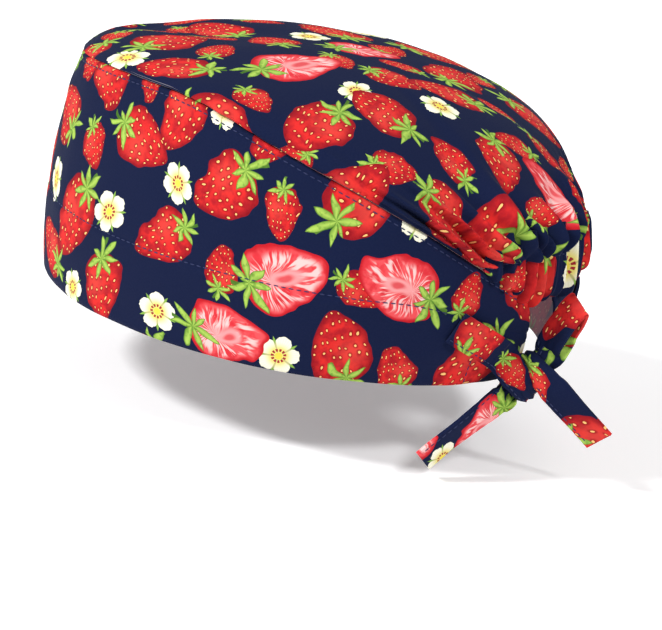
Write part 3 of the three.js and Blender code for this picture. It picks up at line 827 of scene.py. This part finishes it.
def casingRelief(behind, share, point):
    angle = unwound(behind)
    folds = foldHeight(crownFlat(behind, 0.0)) * 0.6
    level = 0.55 + 0.45 * math.cos(math.pi * (share - 1))
    fanned = behind * (1 + 0.05 * (1 - share))
    pleats = casingLook["pleat"] * (pleat(fanned, 0.0) - 0.55 * raised(angle))
    crush = casingLook["crush"] * noise.noise(Vector((behind / 1.9, share * 2.2, 7.7)))
    stitched = -casingLook["stitched"] * bell((1 - share) / 0.09)
    return (folds + pleats * (0.6 + 0.4 * level) + crush) * (0.45 + 0.55 * raised(angle)) + stitched


def casingCut(behind, share):
    return crownCut(unwound(behind), (share - 1) * 0.14)


casingGrid = clothPanel(
    casingLook, spread(190, -casingHalf, casingHalf), spread(34), casingPlace, casingRelief, casingCut)
elasticCasing, casingTree = placeCloth(casingGrid, casingLook)
print("casing drawn together")


# ties

sewnRows = table("angle share", [(151.8, 0.495), (156, 0.455), (160.5, 0.41), (164.5, 0.36)])

leftKnotRows = table("cross bundle out turn width", [
    (-1.0, -0.06, 0.5, -22, 1.0), (-0.48, -0.13, 0.66, -14, 0.88), (0, -0.22, 0.6, -4, 0.7),
    (0.42, -0.3, 0.34, 0, 0.62), (0.55, -0.28, 0, 0, 0.6), (0.36, -0.2, -0.32, 0, 0.6),
    (0, 0, -0.42, 0, 0.6), (-0.36, 0.2, -0.32, 0, 0.6), (-0.55, 0.3, 0, 0, 0.6),
    (-0.42, 0.36, 0.32, 0, 0.6), (0, 0.4, 0.54, 0, 0.64)])
leftTailRows = table("cross bundle out turn width", [
    (0.14, 0.0, 0.03, 10, 0.8), (0.3, 0.0, 0.03, 20, 0.95), (0.56, -0.01, 0.01, 30, 1),
    (0.8, -0.015, -0.01, 32, 1), (1.04, -0.02, -0.02, 30, 1)])
rightKnotRows = table("cross bundle out turn width", [
    (0, 0.75, -0.16, 0, 0.75), (0, 0, -0.17, 0, 0.6), (0, -0.72, -0.16, 0, 0.6), (0, -0.86, -0.07, 0, 0.6),
    (0, -0.72, 0.02, 0, 0.6), (0, 0, 0.01, 0, 0.6), (0, 0.75, 0.02, 0, 0.7)])
loopRows = table("cross bundle out turn width", [
    (-0.1, 0.44, 0.02, -36, 0.85), (-0.19, 0.68, 0.045, -50, 0.97), (-0.235, 0.9, 0.045, -54, 1),
    (-0.225, 1.01, 0.025, -54, 1), (-0.165, 0.9, 0.0, -54, 1), (-0.1, 0.68, -0.01, -48, 0.97),
    (-0.02, 0.42, 0.05, -32, 0.85)])
rightReturnRows = table("cross bundle out turn width", [
    (0, 0.72, 0.22, 0, 0.7), (0, 0, 0.19, 0, 0.6), (0, -0.66, 0.22, 0, 0.66)])
rightTailRows = table("cross bundle out turn width", [
    (-0.02, -0.26, 0.13, 22, 0.85), (-0.05, -0.43, 0.2, 38, 1), (-0.08, -0.63, 0.27, 44, 1),
    (-0.1, -0.84, 0.32, 44, 1), (-0.117, -1.03, 0.36, 42, 1)])

knot = Vector((bow["across"], rim["length"] / 2 + bow["behind"], bow["up"]))
turned = math.radians(bow["turn"])
tilted = math.radians(bow["tilt"])
bowAcross = Vector((-math.sin(turned), math.cos(turned), 0))
bowOut = Vector((math.cos(turned), math.sin(turned), 0))
bowUp = Vector((0, 0, 1))
bundle = bowAcross * math.cos(tilted) + bowUp * math.sin(tilted)
cross = bowAcross * math.sin(tilted) - bowUp * math.cos(tilted)


def bowStations(rows, unit, base, start=None):
    start = start or {"cross": 0, "bundle": 0, "out": 0}
    stations = []
    for row in rows:
        middle = knot.copy()
        for name, way in (("cross", cross), ("bundle", bundle), ("out", bowOut)):
            middle += way * (row[name] * unit + start[name] * tie["width"])
        turn = math.radians(row["turn"])
        wide = base * math.cos(turn) + bowOut * math.sin(turn)
        stations.append({"middle": middle, "wide": wide, "width": row["width"]})
    return stations


def sewnStations(side):
    stations = []
    for row in sewnRows:
        angle = side * row["angle"]
        rising = (bandPoint(angle, row["share"] + 0.1) - bandPoint(angle, row["share"] - 0.1)).normalized()
        along = (bandPoint(angle + 1, row["share"]) - bandPoint(angle - 1, row["share"])).normalized()
        middle = bandPoint(angle, row["share"]) + along.cross(rising) * (tie["lift"] + tie["thick"] / 2)
        stations.append({"middle": middle, "wide": rising, "width": 1.0})
    return stations


def splinePoint(points, place):
    k = min(int(place), len(points) - 2)
    t = place - k
    b, c = points[k], points[k + 1]
    a = points[k - 1] if k > 0 else b * 2 - c
    d = points[k + 2] if k + 2 < len(points) else c * 2 - b
    return ((b * 2) + (c - a) * t + (a * 2 - b * 5 + c * 4 - d) * t**2 + (b * 3 - a - c * 3 + d) * t**3) / 2


def makeTie(look, stations):
    points = [s["middle"] for s in stations]
    last = len(stations) - 1
    steps = last * 9
    places = spread(steps, 0, last)
    path = [splinePoint(points, p) for p in places]
    lengths = [0.0]
    for before, after in zip(path, path[1:]):
        lengths.append(lengths[-1] + (after - before).length)
    rings = {}
    for n, place in enumerate(places):
        k = min(int(place), last - 1)
        t = place - k
        before = path[max(n - 1, 0)]
        along = (path[min(n + 1, steps)] - before).normalized()
        wide = stations[k]["wide"].lerp(stations[k + 1]["wide"], t)
        wide = (wide - along * wide.dot(along)).normalized()
        width = stations[k]["width"] + (stations[k + 1]["width"] - stations[k]["width"]) * smooth(t)
        rings[place] = (path[n], wide, along.cross(wide).normalized(), width, lengths[n])

    def tiePlace(side, place):
        middle, wide, thick, width, length = rings[place]
        squeezed = 1 - width
        curl = look["curl"](middle, thick) * squeezed * 4.2 * side * side
        crimp = squeezed * 1.1 * math.cos(3 * math.pi * side)
        ripple = 0.35 * noise.noise(Vector((length / 9, side * 0.8, look["seed"])))
        return middle + wide * (side * width * tie["width"] / 2) + thick * (curl + crimp + ripple)

    def noRelief(*spot):
        return 0.0

    def tieCut(side, place):
        return side * tie["width"] / 2 + look["cut"][0], rings[place][4] + look["cut"][1]

    grid = clothPanel(look, spread(12, -1, 1), places, tiePlace, noRelief, tieCut)
    piece, tree = placeCloth(grid, look, offset=0.0)
    return piece, tree, rings, lengths[-1]


def towardsKnot(middle, thick):
    inward = knot - middle
    return 1.0 if thick.dot(inward) > 0 else -1.0


leftLook = {"name": "left_tie_cloth", "nodes": ["left_tie"], "thick": tie["thick"], "inside": 0,
            "seed": 1.5, "cut": (161.0, 566.0), "curl": towardsKnot}
rightLook = {"name": "right_tie_cloth", "nodes": ["right_tie"], "thick": tie["thick"], "inside": 0,
             "seed": 7.5, "cut": (207.0, 756.0), "curl": towardsKnot}

leftStations = (sewnStations(1) + bowStations(leftKnotRows, tie["width"], bundle)
                + bowStations(leftTailRows, tie["leftTail"], bundle, leftKnotRows[-1]))
sewnRight = sewnStations(-1)
bridge = {"middle": Vector((-band["opening"] * 0.28, knot.y + 1, knot.z + tie["width"] * 0.75)),
          "wide": sewnRight[-1]["wide"], "width": 0.9}
rightStations = sewnRight + [bridge]
for bowRows, unit in ((rightKnotRows, tie["width"]), (loopRows, tie["loop"]),
                      (rightReturnRows, tie["width"]), (rightTailRows, tie["rightTail"])):
    rightStations += bowStations(bowRows, unit, -cross)
leftTie, leftTree, leftRings, leftLength = makeTie(leftLook, leftStations)
rightTie, rightTree, rightRings, rightLength = makeTie(rightLook, rightStations)
print("ties knotted", round(leftLength), round(rightLength))


# stitches

threadSize = (0.24, 0.2)


def sewStitches(name, paths, pitch=2.7, length=2.0):
    bm = bmesh.new()
    for path, tree in paths:
        marks = [0.0]
        for before, after in zip(path, path[1:]):
            marks.append(marks[-1] + (after - before).length)
        count = int(marks[-1] / pitch)
        k = 0
        for n in range(count):
            place = (n + 0.5) * pitch
            while k < len(marks) - 2 and marks[k + 1] < place:
                k += 1
            t = (place - marks[k]) / max(marks[k + 1] - marks[k], 1e-6)
            here = path[k].lerp(path[k + 1], t)
            along = (path[k + 1] - path[k]).normalized()
            spot, facing = tree.find_nearest(here * mm)[:2]
            inward = facing.dot(outwardAt(here)) < 0
            if inward:
                facing = -facing
            if inward or tree in (leftTree, rightTree):
                spot = spot + facing * tie["thick"] * 0.5 * mm
            aside = facing.cross(along).normalized()
            along = aside.cross(facing).normalized()
            turn = Matrix((along, aside, facing)).transposed().to_4x4()
            size = Matrix.Diagonal((length / 2 * mm, threadSize[0] * mm, threadSize[1] * mm, 1))
            put = Matrix.Translation(spot + facing * 0.04 * mm) @ turn @ size
            bmesh.ops.create_uvsphere(bm, u_segments=8, v_segments=5, radius=1.0, matrix=put)
    for face in bm.faces:
        face.smooth = True
    mesh = bpy.data.meshes.new(name)
    bm.to_mesh(mesh)
    bm.free()
    piece = bpy.data.objects.new(name, mesh)
    bpy.context.scene.collection.objects.link(piece)
    mesh.materials.append(thread)
    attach(piece, "root")
    return piece


def outwardAt(point):
    return Vector((point.x, point.y, 0)).normalized() if point.length > 1 else Vector((0, 0, 1))


def bandPath(heightAt, low, high):
    return [bandPoint(a, heightAt(a) / bandTop(a)) for a in spread(260, low, high)]


seamPath = bandPath(lambda a: bandTop(a) - topstitch, -bandEnd + 1, bandEnd - 1)
hemPath = bandPath(hemLine, -151, 151)
endPaths = []
for side in (1, -1):
    endPaths.append([bandPoint(side * (159.5 - 2 * s), s * 0.5) for s in spread(20, 0.04, 0.7)])
bandThread = sewStitches("band_stitches", [(p, bandTree) for p in [seamPath, hemPath] + endPaths])

casingPath = [casingPlace(b, 0.93) for b in spread(60, -casingHalf + 1, casingHalf - 1)]
casingThread = sewStitches("casing_stitches", [(casingPath, casingTree)], pitch=2.2, length=1.6)


def tiePath(rings, side):
    path = []
    for place in sorted(rings):
        middle, wide, thick, width, length = rings[place]
        path.append(middle + wide * side * width * tie["width"] / 2)
    return path


tieThread = sewStitches("tie_stitches", [
    (tiePath(leftRings, -0.76), leftTree), (tiePath(rightRings, 0.76), rightTree)], pitch=2.5, length=1.8)
print("stitches sewn")


# floor, light, camera

floorHeight = -0.034
floorMesh = bpy.data.meshes.new("floor")
floorGrid = bmesh.new()
bmesh.ops.create_grid(floorGrid, x_segments=1, y_segments=1, size=5.0)
floorGrid.to_mesh(floorMesh)
floorGrid.free()
floor = bpy.data.objects.new("floor", floorMesh)
floor.location.z = floorHeight
paleFloor = makePlain("pale floor", (0.92, 0.92, 0.93), 0.9)
floorShader = paleFloor.node_tree.nodes["Principled BSDF"]
floorShader.inputs["Emission Color"].default_value = (1.0, 1.0, 1.0, 1)
floorShader.inputs["Emission Strength"].default_value = 0.25
floorMesh.materials.append(paleFloor)
bpy.context.scene.collection.objects.link(floor)

world = bpy.data.worlds.new("studio")
world.use_nodes = True
world.node_tree.nodes["Background"].inputs["Color"].default_value = (1.0, 1.0, 1.0, 1)
world.node_tree.nodes["Background"].inputs["Strength"].default_value = 0.3
bpy.context.scene.world = world
bpy.context.scene.view_settings.view_transform = "Standard"


def addLight(name, kind, place, size, power):
    data = bpy.data.lights.new(name, kind)
    if kind == "SUN":
        data.angle = math.radians(size)
    else:
        data.shape = "DISK"
        data.size = size
    data.energy = power
    lamp = bpy.data.objects.new(name, data)
    lamp.location = place
    lamp.rotation_euler = (Vector((0, 0, 0.05)) - lamp.location).to_track_quat("-Z", "Y").to_euler()
    bpy.context.scene.collection.objects.link(lamp)


# a sun's size is its angle in degrees, an area light's is its width in metres
lights = table("name kind place size power", [
    ("key", "SUN", (0.75, -0.5, 0.85), 10, 2.9),
    ("cross", "SUN", (0.3, 0.85, 0.95), 10, 1.5),
    ("fill", "AREA", (0.7, -1.2, 0.35), 0.9, 3),
    ("top", "AREA", (-0.4, 0.1, 1.4), 0.9, 3)])
for light in lights:
    addLight(**light)

viewpoint = {"place": (1.0002, 0.6010, 0.3351), "aim": (0.0, 0.0183, 0.0008), "roll": 7.7, "lens": 180.0}
cameraData = bpy.data.cameras.new("camera")
cameraData.lens = viewpoint["lens"]
cameraData.sensor_width = 36
camera = bpy.data.objects.new("camera", cameraData)
camera.location = viewpoint["place"]
sight = Vector(viewpoint["aim"]) - camera.location
camera.rotation_euler = sight.to_track_quat("-Z", "Y").to_euler()
camera.rotation_euler.rotate_axis("Z", math.radians(viewpoint["roll"]))
bpy.context.scene.collection.objects.link(camera)
bpy.context.scene.camera = camera
